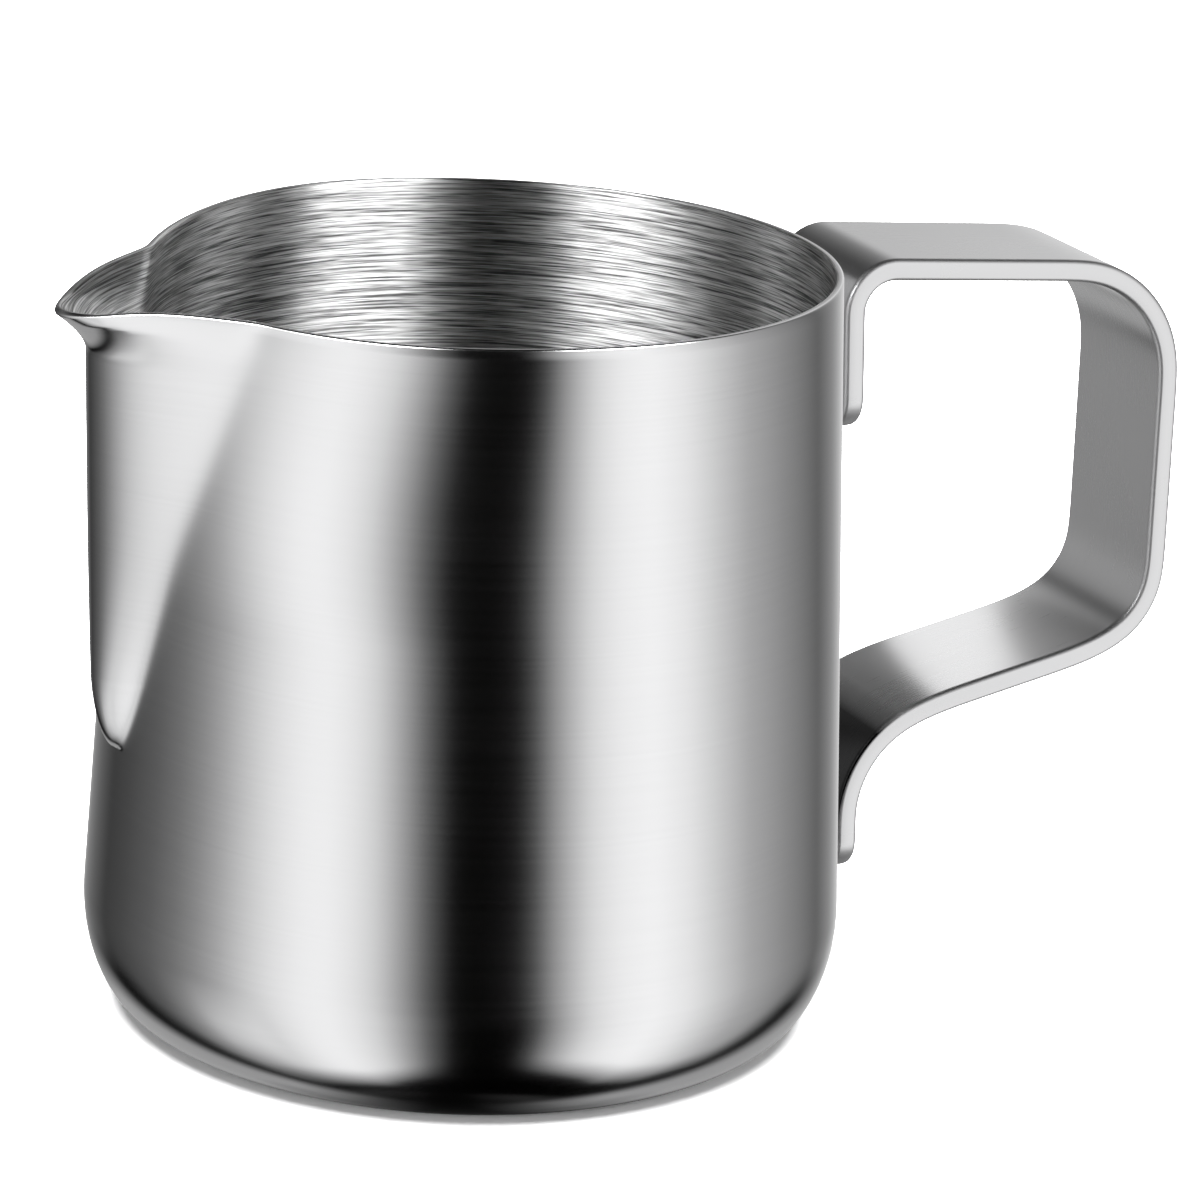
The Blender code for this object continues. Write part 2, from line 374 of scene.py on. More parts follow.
def bend_run(turn, tightest, lead, trail):
    """Points on a bend through this turn that starts along X.

    It tightens over the length lead to the radius tightest, and straightens out over the length trail."""
    core = abs(turn) * tightest - (lead + trail) / 3
    length = lead + core + trail
    steps = math.ceil(length / BEND_POINT_SPACING)
    step = length / steps
    angle = 0.0
    points = [Vector((0, 0))]
    for i in range(steps):
        along = (i + 0.5) * step
        share = min(1.0, along / lead, (length - along) / trail) ** 2
        change = math.copysign(share * step / tightest, turn)
        heading = angle + change / 2
        points.append(points[-1] + Vector((math.cos(heading), math.sin(heading))) * step)
        angle += change
    return points


def bend_points(before, corner, after, radius, lead, trail):
    """Points that round a corner of the path as deeply as an arc of this radius would."""
    into = (corner - before).normalized()
    out = (after - corner).normalized()
    turn = math.atan2(into.x * out.y - into.y * out.x, into.dot(out))
    deep = radius * (1 / math.cos(turn / 2) - 1)
    low, high = (lead + trail) / 3 / abs(turn), radius
    for _ in range(BEND_SEARCH_STEPS):
        tightest = (low + high) / 2
        run = bend_run(turn, tightest, lead, trail)
        end = run[-1]
        reach = Vector((end.x - end.y / math.tan(turn), 0))
        depth = min((point - reach).length for point in run)
        low, high = (tightest, high) if depth < deep else (low, tightest)
    heading = Matrix.Rotation(math.atan2(into.y, into.x), 2)
    return [corner + heading @ (point - reach) for point in run]


def strap_path():
    """The strap's middle line in the X, Z plane, from its upper foot's end to its lower foot's."""
    corners = [
        Vector((foot_x(UPPER_FOOT_END), UPPER_FOOT_END)),
        Vector((foot_x(TOP_BAR_AT_WALL), TOP_BAR_AT_WALL)),
        Vector((GRIP_TOP_X, TOP_BAR_AT_GRIP)),
        Vector((GRIP_BOTTOM_X, ARM_AT_GRIP)),
        Vector((foot_x(ARM_AT_WALL), ARM_AT_WALL)),
        Vector((foot_x(LOWER_FOOT_END), LOWER_FOOT_END)),
    ]
    bends = (
        (TOP_BEND, SHORT_EASE, SHORT_EASE),
        (GRIP_TOP_BEND, GRIP_EASE, GRIP_EASE),
        (GRIP_BOTTOM_BEND, GRIP_EASE, ARM_EASE),
        (LOWER_BEND, ARM_EASE, FOOT_EASE),
    )
    points = [corners[0]]
    for i, (radius, lead, trail) in enumerate(bends, start=1):
        points += bend_points(corners[i - 1], corners[i], corners[i + 1], radius, lead, trail)
    return points + [corners[-1]]


class Path:
    """A line through points in the X, Z plane, read by distance along it."""

    def __init__(self, points):
        self.points = points
        self.at = [0.0]
        for before, after in zip(points, points[1:]):
            self.at.append(self.at[-1] + (after - before).length)
        self.length = self.at[-1]

    def tangent(self, i):
        """Direction of the line at a point: the mean of the two runs that meet there."""
        before = self.points[max(i - 1, 0)]
        after = self.points[min(i + 1, len(self.points) - 1)]
        here = self.points[i]
        if i in (0, len(self.points) - 1):
            return (after - before).normalized()
        return ((here - before).normalized() + (after - here).normalized()).normalized()

    def place(self, distance):
        """(point, normal) at this distance. The normal points to the left of the way along the line."""
        i = 0
        while i < len(self.at) - 2 and self.at[i + 1] < distance:
            i += 1
        share = (distance - self.at[i]) / (self.at[i + 1] - self.at[i])
        point = self.points[i].lerp(self.points[i + 1], share)
        tangent = self.tangent(i).lerp(self.tangent(i + 1), clamp(share)).normalized()
        return point, Vector((-tangent.y, tangent.x))


def strap_stations(path):
    """Distances along the strap at which it gets a row of points, between its rounded foot corners."""
    stations = [FOOT_CORNER_ROUND]
    end = path.length - FOOT_CORNER_ROUND
    for before, after in zip(path.at, path.at[1:]):
        steps = max(1, round((after - before) / STRAIGHT_STEP))
        for step in range(1, steps + 1):
            distance = before + (after - before) * step / steps
            if stations[-1] + LEAST_STATION_STEP < distance < end - LEAST_STATION_STEP:
                stations.append(distance)
    return stations + [end]


def strap_ring(path, stations, inset, offset):
    """One closed ring of (point, distance along, distance across) round the strap's outline.

    It is inset from the strap's edge and offset from its middle surface."""
    corner = FOOT_CORNER_ROUND - inset
    half_width = STRAP_WIDTH / 2 - inset
    side = []
    for step in range(FOOT_ARC_STEPS):
        turn = math.pi / 2 * step / FOOT_ARC_STEPS
        along = FOOT_CORNER_ROUND - corner * math.cos(turn)
        side.append((along, half_width - corner + corner * math.sin(turn)))
    side += [(distance, half_width) for distance in stations]
    for step in range(1, FOOT_ARC_STEPS + 1):
        turn = math.pi / 2 * step / FOOT_ARC_STEPS
        along = path.length - FOOT_CORNER_ROUND + corner * math.sin(turn)
        side.append((along, half_width - corner + corner * math.cos(turn)))
    ring = []
    for distance, across in side + [(distance, -across) for distance, across in reversed(side)]:
        point, normal = path.place(distance)
        place = point + normal * offset
        ring.append((Vector((place.x, across, place.y)), distance, across))
    return ring


def make_strap():
    """The handle as a solid bent strip with rounded edges and rounded foot corners."""
    path = Path(strap_path())
    stations = strap_stations(path)
    half = STRAP_THICKNESS / 2
    levels = [(STRAP_EDGE_ROUND * EDGE_SUPPORT, half)]
    for step in range(EDGE_ARC_STEPS + 1):
        turn = math.pi / 2 * step / EDGE_ARC_STEPS
        inset = STRAP_EDGE_ROUND * (1 - math.sin(turn))
        levels.append((inset, half - STRAP_EDGE_ROUND * (1 - math.cos(turn))))
    levels += [(inset, -offset) for inset, offset in reversed(levels)]
    rings = [strap_ring(path, stations, inset, offset) for inset, offset in levels]
    count = len(rings[0])
    vertices = [point for ring in rings for point, _, _ in ring]
    places = [(distance, across) for ring in rings for _, distance, across in ring]
    faces = []
    for i in range(len(rings) - 1):
        first, second = i * count, (i + 1) * count
        for j in range(count):
            after = (j + 1) % count
            faces.append((first + after, first + j, second + j, second + after))
    last = (len(rings) - 1) * count
    for j in range(count // 2 - 1):
        left, right = j, count - 1 - j
        faces.append((left, left + 1, right - 1, right))
        faces.append((last + right, last + right - 1, last + left + 1, last + left))
    strip = new_piece("handle_strip", vertices, faces)
    mesh = strip.data
    layer = mesh.uv_layers.new(name="along_and_across")
    for loop in mesh.loops:
        distance, across = places[loop.vertex_index]
        layer.data[loop.index].uv = (distance / path.length, 0.5 + across / STRAP_WIDTH)
    mesh.materials.append(polished_strap())
    strip.visible_glossy = False
    stand_for(strip, "handle_strap")
    return strip


# ---------------------------------------------------------------- spot welds


def make_weld(node, material):
    """A weld nugget between wall and strap: a squat turned bead, a little waisted and sunk into both."""
    low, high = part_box(node)
    middle = (low + high) / 2
    wall_x = wall_radius(middle.z) - WELD_IN_WALL
    strap_x = wall_radius(middle.z) + SEAT_GAP + WELD_IN_STRAP
    vertices, faces = [], []
    for i in range(WELD_STEPS + 1):
        share = i / WELD_STEPS
        flare = (2 * share - 1) ** 2
        radius = WELD_RADIUS * (WELD_WAIST + (1 - WELD_WAIST) * flare)
        for j in range(WELD_SIDES):
            turn = 2 * math.pi * j / WELD_SIDES
            side = radius * math.cos(turn)
            up = radius * math.sin(turn)
            vertices.append((wall_x + (strap_x - wall_x) * share, middle.y + side, middle.z + up))
    for i in range(WELD_STEPS):
        first, second = i * WELD_SIDES, (i + 1) * WELD_SIDES
        for j in range(WELD_SIDES):
            after = (j + 1) % WELD_SIDES
            faces.append((first + j, first + after, second + after, second + j))
    faces.append(tuple(reversed(range(WELD_SIDES))))
    faces.append(tuple(range(WELD_STEPS * WELD_SIDES, (WELD_STEPS + 1) * WELD_SIDES)))
    nugget = new_piece(node + "_nugget", vertices, faces)
    nugget.data.set_sharp_from_angle(angle=math.radians(40))
    nugget.data.materials.append(material)
    stand_for(nugget, node)


# ---------------------------------------------------------------- materials

PROFILE_LENGTH = 0.24  # about what the cup's outer and inner sides measure together

# Streaks that run around the cup, as (length, width)
OUTSIDE_GRAIN = (0.030, 0.00035)
INSIDE_COARSE = (0.014, 0.00030)
INSIDE_FINE = (0.007, 0.00018)
COARSE_SHARE = 0.45
STREAK_RANGE = (0.40, 0.59)  # of the mixed noise: up to the first dark, from the second on bright
INSIDE_DARK = 0.12
INSIDE_BRIGHT = 0.91

NOISE_RANGE = (0.3, 0.7)  # what nearly all of a noise lies between
STRAP_GRAIN_ALONG = 12.0
STRAP_GRAIN_ACROSS = 70.0

# Painted shade: beside the lower welds the strap's upward face is darkened in its colour, standing in for
# the dark reflection of the cup's wall in the strap's lower bend.
PAINTED_SHADE_DEPTH = 0.94  # how much the strap's upward face darkens beside the lower welds, at most
PAINTED_SHADE_REACH = (0.0445, 0.0475)  # X where it is darkest, and where that ends
PAINTED_SHADE_TOP = (0.042, 0.048)  # heights at which it starts to fade, and ends
CUT_EDGE_DULLING = 0.16  # how much darker the strip's cut edges are than its faces
TUMBLED_ROUGHNESS = 0.20  # what the rounded edges have over the faces


class Nodes:
    """Builds one material's node tree."""

    def __init__(self, name):
        self.material = bpy.data.materials.new(name)
        self.material.use_nodes = True
        self.tree = self.material.node_tree
        self.shader = self.tree.nodes["Principled BSDF"]

    def add(self, kind, **values):
        """A node of this kind. Each value goes to its property of that name or, failing that, its input."""
        node = self.tree.nodes.new(kind)
        for name, value in values.items():
            if hasattr(node, name):
                setattr(node, name, value)
            else:
                self.feed(node.inputs[name.replace("_", " ").title()], value)
        return node

    def feed(self, socket, value):
        """Links an output to a socket, or sets the socket's value."""
        if isinstance(value, bpy.types.NodeSocket):
            self.tree.links.new(value, socket)
        else:
            socket.default_value = value

    def math(self, operation, *values):
        node = self.tree.nodes.new("ShaderNodeMath")
        node.operation = operation
        for socket, value in zip(node.inputs, values):
            self.feed(socket, value)
        return node.outputs[0]

    def remap(self, value, low, high, to_low, to_high):
        """The value's range from low to high, carried to another range."""
        node = self.tree.nodes.new("ShaderNodeMapRange")
        for socket, number in zip(node.inputs, (value, low, high, to_low, to_high)):
            self.feed(socket, number)
        return node.outputs[0]

    def blend(self, first, second, share):
        """This share of the first value, and the rest of the second."""
        rest = self.math("MULTIPLY", second, 1 - share)
        return self.math("ADD", self.math("MULTIPLY", first, share), rest)

    def noise(self, vector, scale, detail, roughness):
        node = self.tree.nodes.new("ShaderNodeTexNoise")
        self.feed(node.inputs["Vector"], vector)
        node.inputs["Scale"].default_value = scale
        node.inputs["Detail"].default_value = detail
        node.inputs["Roughness"].default_value = roughness
        return node.outputs[0]

    def bump(self, height, strength, distance):
        node = self.tree.nodes.new("ShaderNodeBump")
        node.inputs["Strength"].default_value = strength
        node.inputs["Distance"].default_value = distance
        self.feed(node.inputs["Height"], height)
        return node.outputs[0]

    def color(self, factor, dark, light):
        node = self.tree.nodes.new("ShaderNodeMix")
        node.data_type = "RGBA"
        self.feed(node.inputs["Factor"], factor)
        node.inputs["A"].default_value = (*dark, 1)
        node.inputs["B"].default_value = (*light, 1)
        return node.outputs["Result"]


def metal(nodes, anisotropic=0.0, rotation=0.0):
    shader = nodes.shader
    shader.inputs["Metallic"].default_value = 1.0
    shader.inputs["Anisotropic"].default_value = anisotropic
    shader.inputs["Anisotropic Rotation"].default_value = rotation


def around_streaks(nodes, size, along):
    """A vector for noise drawn out around the cup, in streaks of about this length and width.

    Along is the output that holds the distance along the cup's profile."""
    length, width = size
    place = nodes.add("ShaderNodeNewGeometry").outputs["Position"]
    parts = nodes.add("ShaderNodeSeparateXYZ", vector=place)
    vector = nodes.add("ShaderNodeCombineXYZ")
    nodes.feed(vector.inputs[0], nodes.math("MULTIPLY", parts.outputs[0], 1 / length))
    nodes.feed(vector.inputs[1], nodes.math("MULTIPLY", parts.outputs[1], 1 / length))
    nodes.feed(vector.inputs[2], nodes.math("MULTIPLY", along, 1 / width))
    return vector.outputs[0]


def profile_distance(nodes):
    """Distance along the cup's profile in metres, from its UV map."""
    uv = nodes.add("ShaderNodeUVMap", uv_map="around_and_up")
    parts = nodes.add("ShaderNodeSeparateXYZ", vector=uv.outputs[0])
    return nodes.math("MULTIPLY", parts.outputs[1], PROFILE_LENGTH)


def satin_outside():
    """The cup's outer side: smooth satin steel, with a faint turned grain."""
    nodes = Nodes("satin_steel_outside")
    metal(nodes)
    along = profile_distance(nodes)
    grain = nodes.noise(around_streaks(nodes, OUTSIDE_GRAIN, along), scale=1.0, detail=3.0, roughness=0.6)
    place = nodes.add("ShaderNodeNewGeometry").outputs["Position"]
    cloud = nodes.noise(place, scale=60.0, detail=2.0, roughness=0.5)
    wear = nodes.blend(grain, cloud, 0.6)
    steel = nodes.color(wear, (0.60, 0.60, 0.605), (0.66, 0.66, 0.665))
    nodes.feed(nodes.shader.inputs["Base Color"], steel)
    nodes.feed(nodes.shader.inputs["Roughness"], nodes.remap(wear, *NOISE_RANGE, 0.125, 0.155))
    nodes.feed(nodes.shader.inputs["Normal"], nodes.bump(grain, strength=0.05, distance=0.00002))
    return nodes.material


def brushed_inside():
    """The cup's inner side: steel brushed around, with scratches of many widths."""
    nodes = Nodes("brushed_steel_inside")
    metal(nodes, 1.0, 0.25)
    tangent = nodes.add("ShaderNodeTangent", direction_type="UV_MAP", uv_map="around_and_up")
    nodes.feed(nodes.shader.inputs["Tangent"], tangent.outputs[0])
    along = profile_distance(nodes)
    coarse = nodes.noise(around_streaks(nodes, INSIDE_COARSE, along), scale=1.0, detail=3.0, roughness=0.65)
    fine = nodes.noise(around_streaks(nodes, INSIDE_FINE, along), scale=1.0, detail=2.0, roughness=0.7)
    mix = nodes.blend(coarse, fine, COARSE_SHARE)
    streak = nodes.remap(mix, *STREAK_RANGE, 0.0, 1.0)
    steel = nodes.color(streak, (INSIDE_DARK,) * 3, (INSIDE_BRIGHT,) * 3)
    nodes.feed(nodes.shader.inputs["Base Color"], steel)
    nodes.feed(nodes.shader.inputs["Roughness"], nodes.remap(fine, *NOISE_RANGE, 0.31, 0.40))
    nodes.feed(nodes.shader.inputs["Normal"], nodes.bump(mix, strength=0.5, distance=0.00006))
    return nodes.material


def painted_shade_by_welds(nodes, place, facing):
    """Painted shade: how much darker the strap's colour is at a place, only beside the lower welds, on the
    face seen from above. It stands in for the dark reflection of the cup's wall.
    """
    near_wall = nodes.remap(place[0], *PAINTED_SHADE_REACH, 1.0, 0.0)
    near_welds = nodes.math("MULTIPLY", near_wall, nodes.remap(place[2], *PAINTED_SHADE_TOP, 1.0, 0.0))
    inner_face = nodes.math("SUBTRACT", facing[2], facing[0])
    return nodes.math("MULTIPLY", near_welds, nodes.remap(inner_face, 0.3, 0.8, 0.0, PAINTED_SHADE_DEPTH))


def polished_strap():
    """The handle: polished steel strip with faint grain along its length, duller on its cut edges."""
    nodes = Nodes("polished_strap_steel")
    metal(nodes)
    uv = nodes.add("ShaderNodeUVMap", uv_map="along_and_across")
    parts = nodes.add("ShaderNodeSeparateXYZ", vector=uv.outputs[0])
    vector = nodes.add("ShaderNodeCombineXYZ")
    nodes.feed(vector.inputs[0], nodes.math("MULTIPLY", parts.outputs[0], STRAP_GRAIN_ALONG))
    nodes.feed(vector.inputs[1], nodes.math("MULTIPLY", parts.outputs[1], STRAP_GRAIN_ACROSS))
    grain = nodes.noise(vector.outputs[0], scale=1.0, detail=3.0, roughness=0.6)
    geometry = nodes.add("ShaderNodeNewGeometry")
    cloud = nodes.noise(geometry.outputs["Position"], scale=90.0, detail=2.0, roughness=0.5)
    wear = nodes.blend(grain, cloud, 0.5)
    place = nodes.add("ShaderNodeSeparateXYZ", vector=geometry.outputs["Position"]).outputs
    facing = nodes.add("ShaderNodeSeparateXYZ", vector=geometry.outputs["Normal"]).outputs
    sideways = nodes.math("ABSOLUTE", facing[1])  # 0 on the broad faces, 1 on the cut edges
    dulling = nodes.remap(sideways, 0.5, 0.9, 0.0, CUT_EDGE_DULLING)
    # painted shade beside the lower welds, taken out of the strap's colour
    unshaded = nodes.math("SUBTRACT", 1.0, painted_shade_by_welds(nodes, place, facing))
    steel = nodes.add("ShaderNodeVectorMath", operation="SCALE")
    nodes.feed(steel.inputs[0], nodes.color(wear, (0.66, 0.66, 0.665), (0.72, 0.72, 0.725)))
    nodes.feed(steel.inputs["Scale"], nodes.math("SUBTRACT", unshaded, dulling))
    nodes.feed(nodes.shader.inputs["Base Color"], steel.outputs[0])
    off_face = nodes.remap(sideways, 0.02, 0.15, 0.0, TUMBLED_ROUGHNESS)
    rounded = nodes.math("MULTIPLY", off_face, nodes.remap(sideways, 0.92, 0.99, 1.0, 0.0))
    polish = nodes.remap(wear, *NOISE_RANGE, 0.26, 0.30)
    nodes.feed(nodes.shader.inputs["Roughness"], nodes.math("ADD", polish, rounded))
    nodes.feed(nodes.shader.inputs["Normal"], nodes.bump(grain, strength=0.04, distance=0.00002))
    return nodes.material


def weld_metal():
    """Weld nuggets: dull steel with a faint straw heat tint and a grainy skin."""
    nodes = Nodes("weld_steel")
    metal(nodes)
    place = nodes.add("ShaderNodeNewGeometry").outputs["Position"]
    tint = nodes.noise(place, scale=900.0, detail=2.0, roughness=0.5)
    grit = nodes.noise(place, scale=6000.0, detail=3.0, roughness=0.6)
    nodes.feed(nodes.shader.inputs["Base Color"], nodes.color(tint, (0.36, 0.33, 0.30), (0.50, 0.45, 0.38)))
    nodes.feed(nodes.shader.inputs["Roughness"], nodes.remap(grit, *NOISE_RANGE, 0.38, 0.55))
    nodes.feed(nodes.shader.inputs["Normal"], nodes.bump(grit, strength=0.4, distance=0.00005))
    return nodes.material


def pale_floor():
    nodes = Nodes("pale_floor")
    nodes.shader.inputs["Base Color"].default_value = (0.93, 0.93, 0.93, 1)
    nodes.shader.inputs["Roughness"].default_value = 0.9
    nodes.shader.inputs["Specular IOR Level"].default_value = 0.0
    return nodes.material


# ---------------------------------------------------------------- studio

# What stands round the cup: brightness by degrees to the right of the camera. Softboxes are bright, and the
# gaps between them are black.
STRIPS = (
    (-180, 0.85),
    (-168, 0.30),
    (-154, 0.16),
    (-140, 0.06),
    (-126, 0.09),
    (-110, 0.15),
    (-98, 0.24),
    (-88, 0.38),
    (-79, 0.58),
    (-70, 0.86),
    (-60, 1.15),
    (-50, 1.34),
    (-42, 1.38),
    (-34, 1.24),
    (-27, 1.02),
    (-20, 0.60),
    (-12, 0.16),
    (-5, 0.0),
    (8, 0.0),
    (16, 0.0),
    (21, 0.08),
    (30, 0.62),
    (38, 1.08),
    (47, 1.32),
    (58, 1.42),
    (70, 1.24),
    (82, 0.90),
    (94, 0.60),
    (112, 0.38),
    (134, 0.16),
    (148, 0.34),
    (172, 0.90),
)

# The strips lean to the left by this much for each degree up, between these elevations
STRIP_LEAN = 1.0
STRIP_LEAN_LOW = math.radians(-17)
STRIP_LEAN_MIDDLE = math.radians(-12)
STRIP_LEAN_HIGH = math.radians(-4)

# Each pair from here to the softboxes is a range of how far a unit direction points up, to the right or
# away from the camera. Towards the ceiling the strips fade out.
CEILING_FADE = (math.sin(math.radians(30)), math.sin(math.radians(55)))
CEILING_BRIGHTNESS = 0.02

# Low on the left the strips are brighter, which the cup's rounded foot mirrors
LEFT_GLOW_MIDDLE = math.radians(-85)
LEFT_GLOW_REACH = math.radians(25)
LEFT_GLOW_GAIN = 1.1
LEFT_GLOW_TOP = (-0.34, -0.60)
LEFT_GLOW_BOTTOM = (-0.86, -0.70)

# The strips end low down, within the first range. They end higher up behind the cup, on the right of the
# near side, and around a direction in front.
STRIPS_END = (-0.915, -0.785)
END_HIGHER_BEHIND = 0.7
END_HIGHER_RIGHT = 0.085
NEAR_SIDE = (0.0, 0.2)
END_HIGHER_IN_FRONT = 0.15
FRONT_MIDDLE = math.radians(18)
FRONT_REACH = math.radians(50)
BELOW = (-0.38, -0.50)  # where the end of the strips and the floor start to count

# The lit floor behind the cup: how bright it is, where it starts, and where it is dim
FLOOR_GLOW = 0.45
FLOOR_GLOW_START = (-0.95, -1.05)
STEEPLY_BEHIND = (-1.12, -1.03)
STEEPLY_BEHIND_SHARE = 0.45
FLOOR_GLOW_MIDDLE = (0.05, 0.22)
FLOOR_GLOW_IN_MIDDLE = 0.06
STRAIGHT_DOWN = (-0.99, -0.91)
FLOOR_GLOW_STRAIGHT_DOWN = 0.1

# Softboxes in front of the cup that shine into it over its near rim: degrees to the right of the camera,
# half widths in degrees, and radiance. On each side two overlap, so their light falls off to the sides.
INSIDE_SOFTBOXES = (
    (-47, 23, 4.9),
    (-45, 15, 5.3),
    (48, 25, 5.2),
    (47, 16, 5.5),
)
INSIDE_SOFTBOX_ELEVATION = math.radians(31)
INSIDE_SOFTBOX_HALF_HEIGHT = math.radians(15)
INSIDE_SOFTBOX_DISTANCE = 0.8

OVERHEAD_SIZE = 1.6
OVERHEAD_HEIGHT = 1.2
OVERHEAD_ENERGY = 130.0

# The handle's own lights: what each is aimed at, where it stands, its size and its radiance
GRIP = Vector((GRIP_BOTTOM_X, 0, 0.055))
GRIP_FILL_PLACE = Vector((0.015, 0.115, 0.05))
GRIP_FILL_SIZE = (0.20, 0.12)
GRIP_FILL_RADIANCE = 0.24
ARM = Vector((0.0593, 0, 0.0328))
ARM_GLINT_PLACE = ARM + Vector((0.255, 0.850, 0.461)) * 0.035
ARM_GLINT_SIZE = (0.0135, 0.030)
ARM_GLINT_RADIANCE = 1.34
ARM_GLINT_SPREAD = math.radians(48)


def strip_brightness(nodes, turn):
    """Brightness of the strips at a turn from 0, straight behind the cup, round by its left side to 1."""
    ramp = nodes.add("ShaderNodeValToRGB", fac=turn)
    ramp.color_ramp.interpolation = "LINEAR"
    elements = ramp.color_ramp.elements
    brightest = max(brightness for _, brightness in STRIPS)
    while len(elements) < len(STRIPS):
        elements.new(0.5)
    for element, (degrees, brightness) in zip(elements, STRIPS):
        element.position = (degrees + 180) / 360
        share = brightness / brightest
        element.color = (share, share, share, 1)
    return nodes.math("MULTIPLY", ramp.outputs[0], brightest)


class WorldNodes(Nodes):
    """Builds the world's node tree from how far a direction points to the right, behind the cup and up."""

    def __init__(self, name):
        self.world = bpy.data.worlds.new(name)
        self.world.use_nodes = True
        self.tree = self.world.node_tree
        turned = self.add("ShaderNodeVectorRotate", rotation_type="Z_AXIS")
        self.feed(turned.inputs["Vector"], self.add("ShaderNodeTexCoord").outputs["Generated"])
        turned.inputs["Angle"].default_value = -CAMERA_AZIMUTH
        self.right, away, self.up = self.add("ShaderNodeSeparateXYZ", vector=turned.outputs[0]).outputs
        self.around = self.math("ARCTAN2", self.right, self.math("MULTIPLY", away, -1.0))
        self.behind = self.math("MAXIMUM", away, 0.0)

    def near(self, value, middle, reach):
        """1 where the value is at the middle, falling evenly to 0 at this distance from it."""
        away = self.math("ABSOLUTE", self.math("SUBTRACT", value, middle))
        return self.remap(away, 0.0, reach, 1.0, 0.0)

    def lower(self, value, share):
        """The direction's upward part, less this share of the value."""
        return self.math("SUBTRACT", self.up, self.math("MULTIPLY", value, share))

    def product(self, *values):
        result = values[0]
        for value in values[1:]:
            result = self.math("MULTIPLY", result, value)
        return result


def strips_light(nodes):
    """The leaning strips, faded out towards the ceiling, with the glow low on their left."""
    turn = nodes.remap(nodes.around, -math.pi, math.pi, 0.0, 1.0)
    elevation = nodes.math("MAXIMUM", nodes.math("ARCSINE", nodes.up), STRIP_LEAN_LOW)
    elevation = nodes.math("MINIMUM", elevation, STRIP_LEAN_HIGH)
    lean = nodes.math("MULTIPLY", nodes.math("SUBTRACT", elevation, STRIP_LEAN_MIDDLE), STRIP_LEAN)
    leaning = nodes.math("ADD", turn, nodes.math("DIVIDE", lean, 2 * math.pi))
    strips = strip_brightness(nodes, nodes.math("FRACT", leaning))
    fade = nodes.remap(nodes.up, *CEILING_FADE, 1.0, CEILING_BRIGHTNESS)
    left = nodes.near(nodes.around, LEFT_GLOW_MIDDLE, LEFT_GLOW_REACH)
    top = nodes.remap(nodes.up, *LEFT_GLOW_TOP, 0.0, 1.0)
    bottom = nodes.remap(nodes.up, *LEFT_GLOW_BOTTOM, 0.0, 1.0)
    glow = nodes.product(left, LEFT_GLOW_GAIN, top, bottom)
    return nodes.product(strips, fade, nodes.math("ADD", glow, 1.0))


def strips_end(nodes):
    """1 where the strips have ended low down, falling to 0 where they stand in full."""
    behind = nodes.lower(nodes.behind, END_HIGHER_BEHIND)
    near_side = nodes.remap(nodes.behind, *NEAR_SIDE, END_HIGHER_RIGHT, 0.0)
    at_right = nodes.math("SUBTRACT", behind, nodes.math("MULTIPLY", nodes.right, near_side))
    front = nodes.near(nodes.around, FRONT_MIDDLE, FRONT_REACH)
    in_front = nodes.math("SUBTRACT", at_right, nodes.math("MULTIPLY", front, END_HIGHER_IN_FRONT))
    return nodes.remap(in_front, *STRIPS_END, 1.0, 0.0)


def floor_light(nodes):
    """The lit floor behind the cup. It is dim where a direction points steeply down, and in the middle."""
    floor = nodes.remap(nodes.lower(nodes.behind, END_HIGHER_BEHIND), *FLOOR_GLOW_START, 0.0, FLOOR_GLOW)
    steep = nodes.remap(nodes.lower(nodes.behind, STEEPLY_BEHIND_SHARE), *STEEPLY_BEHIND, 0.0, 1.0)
    from_middle = nodes.math("ABSOLUTE", nodes.right)
    middle = nodes.remap(from_middle, *FLOOR_GLOW_MIDDLE, FLOOR_GLOW_IN_MIDDLE, 1.0)
    down = nodes.remap(nodes.up, *STRAIGHT_DOWN, FLOOR_GLOW_STRAIGHT_DOWN, 1.0)
    return nodes.product(floor, steep, middle, down)


def make_world():
    """A studio of soft strips that only reflections see. The camera sees plain white behind the cup."""
    nodes = WorldNodes("studio")
    bpy.context.scene.world = nodes.world
    below = nodes.remap(nodes.up, *BELOW, 0.0, 1.0)
    kept = nodes.math("SUBTRACT", 1.0, nodes.math("MULTIPLY", below, strips_end(nodes)))
    strips = nodes.math("MULTIPLY", strips_light(nodes), kept)
    light = nodes.math("ADD", strips, nodes.math("MULTIPLY", below, floor_light(nodes)))
    seen = nodes.add("ShaderNodeLightPath").outputs["Is Camera Ray"]
    reflected = nodes.math("MULTIPLY", light, nodes.math("SUBTRACT", 1.0, seen))
    background = nodes.tree.nodes["Background"]
    nodes.feed(background.inputs["Strength"], nodes.math("ADD", reflected, seen))
    background.inputs["Color"].default_value = (1, 1, 1, 1)


def make_floor():
    bpy.ops.mesh.primitive_plane_add(size=FLOOR_SIZE)
    floor = bpy.context.object
    floor.name = "floor"
    floor.data.materials.append(pale_floor())
    floor.visible_glossy = False


def make_overhead_light():
    """A wide soft light that brightens the floor and isn't mirrored in the steel."""
    data = bpy.data.lights.new("overhead", "AREA")
    data.shape = "DISK"
    data.size = OVERHEAD_SIZE
    data.energy = OVERHEAD_ENERGY
    light = bpy.data.objects.new("overhead", data)
    light.location = (0, 0, OVERHEAD_HEIGHT)
    light.visible_glossy = False
    bpy.context.scene.collection.objects.link(light)


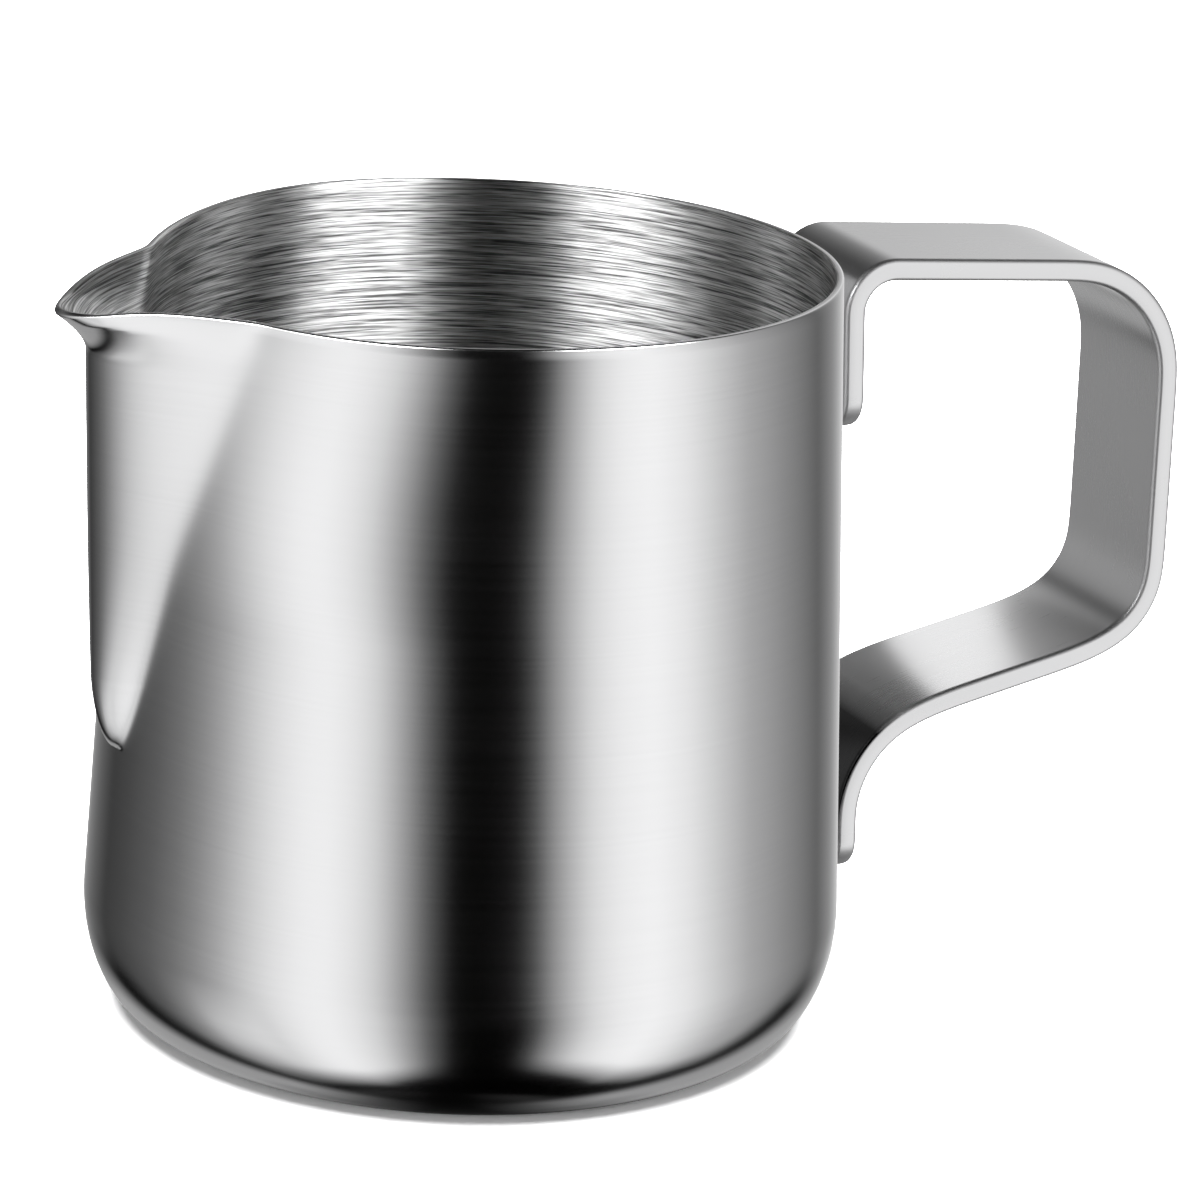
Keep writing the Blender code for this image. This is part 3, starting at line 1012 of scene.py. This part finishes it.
def make_softbox(name, lit, place, target, size, radiance, spread=math.pi):
    """A softbox that lights only some pieces, and that the camera doesn't see.

    A spread below a half turn is that of a grid in front of it, which narrows its light."""
    width, height = size
    let_through = 1 - spread / 2 / math.tan(spread / 2)
    data = bpy.data.lights.new(name, "AREA")
    data.shape = "RECTANGLE"
    data.size = width
    data.size_y = height
    data.spread = spread
    data.energy = radiance * math.pi * width * height * let_through
    light = bpy.data.objects.new(name, data)
    light.location = place
    light.rotation_euler = (target - place).to_track_quat("-Z", "Y").to_euler()
    light.visible_camera = False
    light.light_linking.receiver_collection = lit
    bpy.context.scene.collection.objects.link(light)


def light_inside(cup):
    """Bright softboxes over the near rim, which light only the cup."""
    lit = bpy.data.collections.new("lit_by_inside_lights")
    lit.objects.link(cup)
    mouth = Vector((0, 0, HEIGHT))
    towards = Vector((math.sin(CAMERA_AZIMUTH), -math.cos(CAMERA_AZIMUTH), 0))
    right = Vector((math.cos(CAMERA_AZIMUTH), math.sin(CAMERA_AZIMUTH), 0))
    level = math.cos(INSIDE_SOFTBOX_ELEVATION) * INSIDE_SOFTBOX_DISTANCE
    rise = Vector((0, 0, math.sin(INSIDE_SOFTBOX_ELEVATION) * INSIDE_SOFTBOX_DISTANCE))
    height = 2 * math.tan(INSIDE_SOFTBOX_HALF_HEIGHT) * INSIDE_SOFTBOX_DISTANCE
    for number, (turn, half_width, radiance) in enumerate(INSIDE_SOFTBOXES):
        aside = towards * math.cos(math.radians(turn)) + right * math.sin(math.radians(turn))
        place = mouth + aside * level + rise
        width = 2 * math.tan(math.radians(half_width)) * level
        make_softbox(f"inside_softbox_{number}", lit, place, mouth, (width, height), radiance)


def light_handle(handle):
    """A dim wide light for the grip's inner face, and a small bright one for the highlight on the arm."""
    lit = bpy.data.collections.new("lit_by_handle_lights")
    lit.objects.link(handle)
    make_softbox("grip_fill", lit, GRIP_FILL_PLACE, GRIP, GRIP_FILL_SIZE, GRIP_FILL_RADIANCE)
    glint = (ARM_GLINT_PLACE, ARM, ARM_GLINT_SIZE, ARM_GLINT_RADIANCE, ARM_GLINT_SPREAD)
    make_softbox("arm_glint", lit, *glint)


def make_camera():
    data = bpy.data.cameras.new("camera")
    data.lens = CAMERA_LENS
    data.sensor_width = SENSOR_WIDTH
    data.clip_start = 0.01
    camera = bpy.data.objects.new("camera", data)
    bpy.context.scene.collection.objects.link(camera)
    level = Vector((math.sin(-CAMERA_AZIMUTH), math.cos(-CAMERA_AZIMUTH), 0))
    look = level * math.cos(CAMERA_ELEVATION) - Vector((0, 0, math.sin(CAMERA_ELEVATION)))
    right = Vector((math.cos(CAMERA_AZIMUTH), math.sin(CAMERA_AZIMUTH), 0))
    up = right.cross(look)
    turn = Matrix((right, up, -look)).transposed().to_4x4()
    place = Matrix.Translation(CAMERA_TARGET - look * CAMERA_DISTANCE)
    camera.matrix_world = place @ turn @ Matrix.Rotation(CAMERA_ROLL, 4, "Z")
    bpy.context.scene.camera = camera


make_camera()
make_world()
make_overhead_light()
make_floor()
light_inside(make_body())
light_handle(make_strap())
weld_material = weld_metal()
for level in ("upper", "lower"):
    for side in ("front", "back"):
        make_weld(f"{level}_{side}_spot_weld", weld_material)
bpy.context.scene.view_settings.view_transform = "Standard"

bpy.context.view_layer.update()
